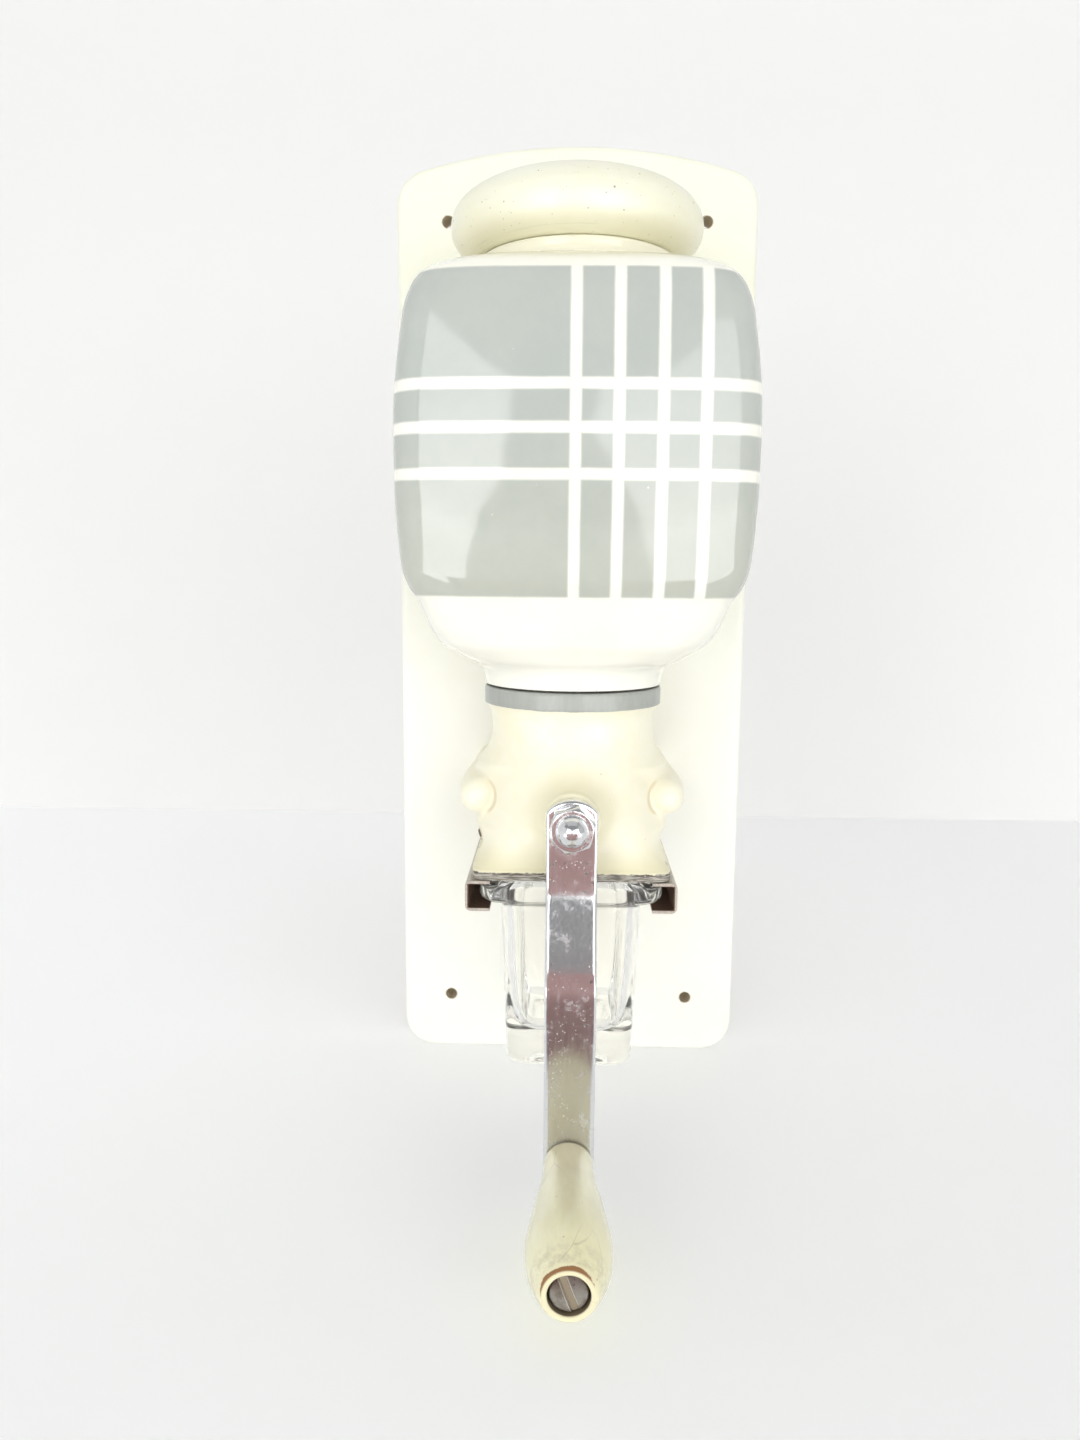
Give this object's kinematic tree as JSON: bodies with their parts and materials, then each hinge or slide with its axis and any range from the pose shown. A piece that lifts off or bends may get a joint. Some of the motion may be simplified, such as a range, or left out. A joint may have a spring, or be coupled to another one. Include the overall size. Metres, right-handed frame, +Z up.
{
  "type": "wall coffee mill",
  "caption": "Hand-cranked wall coffee mill: painted board, square ceramic hopper with lid, cast burr body, cranked arm and sliding glass catch cup.",
  "frame": {"origin": "centre of the four wall screw holes, on the back face of the wall board", "axes": "+X to the viewer's right, +Y into the wall, +Z up; the crank faces -Y"},
  "size_m": [0.13, 0.1817, 0.34],
  "materials": {
    "board_paint": "satin white-cream paint on wood, a little worn",
    "lid_paint": "old cream paint on turned wood, rubbed and stained",
    "grip_paint": "yellowed glossy cream paint on turned wood",
    "glaze": "glossy cream glaze with a grey band and white plaid stripes",
    "gasket_rubber": "dark aged rubber",
    "body_paint": "cream enamel paint on a casting, grey collar, worn dark at the base",
    "chrome": "old chrome plate, polished, lightly pitted",
    "steel": "plain steel, dull",
    "rusty_steel": "bent sheet steel with brown rust",
    "cast_iron": "bare hardened iron, dark with coffee oil",
    "brass": "plain turned brass",
    "glass": "clear pressed glass with thick corners"
  },
  "bodies": {
    "mill": {"wall_board": "board_paint", "bean_hopper": "glaze", "hopper_gasket": "gasket_rubber", "hopper_bolt": "steel", "hopper_spacer": "gasket_rubber", "hopper_washer": "steel", "hopper_nut": "steel", "mill_body": "body_paint", "body_screw_left": "steel", "body_screw_right": "steel", "body_screw_top": "steel", "front_bush": "brass", "burr_ring": "cast_iron", "ring_set_screw": "rusty_steel", "rear_bearing_plate": "cast_iron", "plate_screw_left": "steel", "plate_screw_right": "steel", "rail_left": "rusty_steel", "rail_right": "rusty_steel", "rail_rivet_left_rear": "steel", "rail_rivet_left_front": "steel", "rail_rivet_right_rear": "steel", "rail_rivet_right_front": "steel", "thrust_washer": "steel"},
    "lid": {"lid": "lid_paint"},
    "crank": {"crank_shaft": "steel", "burr_cone": "cast_iron", "cone_pin": "steel", "cone_spring": "steel", "crank_arm": "chrome", "cap_nut": "chrome", "grip_screw": "steel", "grip_washer": "steel"},
    "grip": {"grip": "grip_paint"},
    "catch_glass": {"catch_glass": "glass"}
  },
  "joints": [
    {"name": "crank_spin", "type": "hinge", "parent": "mill", "child": "crank", "pos_m": [0, -0.1085, -0.052], "axis": [0, 1, 0], "continuous": true},
    {"name": "grip_spin", "type": "hinge", "parent": "crank", "child": "grip", "pos_m": [0, -0.1257, -0.1505], "axis": [0, 1, 0], "continuous": true},
    {"name": "lid_lift", "type": "slide", "parent": "mill", "child": "lid", "axis": [0, 0, 1], "range_m": [0, 0.04]},
    {"name": "glass_slide", "type": "slide", "parent": "mill", "child": "catch_glass", "axis": [0, -1, 0], "range_m": [0, 0.01]}
  ]
}
